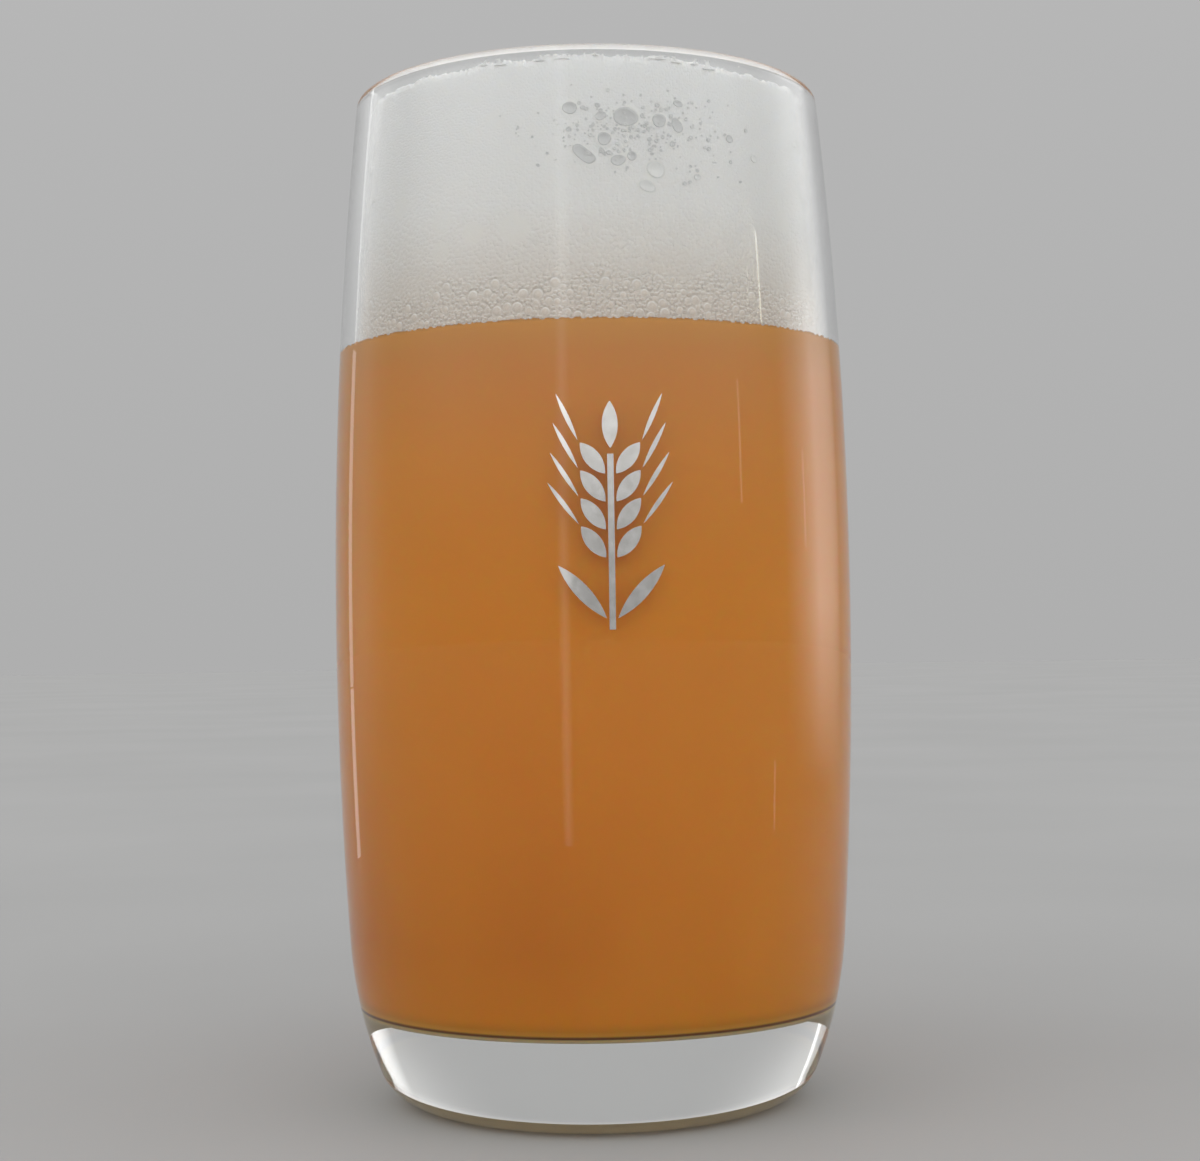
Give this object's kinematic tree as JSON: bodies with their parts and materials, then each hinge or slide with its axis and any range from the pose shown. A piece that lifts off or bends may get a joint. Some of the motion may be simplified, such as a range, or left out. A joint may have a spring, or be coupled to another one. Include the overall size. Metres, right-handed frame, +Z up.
{
  "type": "beer glass",
  "caption": "Heavy-based barrel tumbler of clear glass, filled with hazy amber ale under a thick head of off-white foam, for drinking from by hand.",
  "frame": {"origin": "centre of the foot, on the plane that the glass stands on", "axes": "+Z up along the axis of the glass; the print faces -Y; +X to the right as seen facing the print"},
  "size_m": [0.0724, 0.0726, 0.14],
  "materials": {
    "clear_glass": "clear, polished",
    "silver_print": "printed silver, satin",
    "amber_beer": "hazy amber liquid",
    "wet_foam": "coarse wet bubbles",
    "foam": "fine off-white foam",
    "bubble_film": "thin wet film"
  },
  "bodies": {
    "root": {"tumbler": "clear_glass", "printed_emblem": "silver_print", "beer": "amber_beer", "bubble_layer": "wet_foam", "foam_head": "foam", "large_bubbles": "bubble_film", "rim_lacing": "foam"}
  },
  "joints": []
}
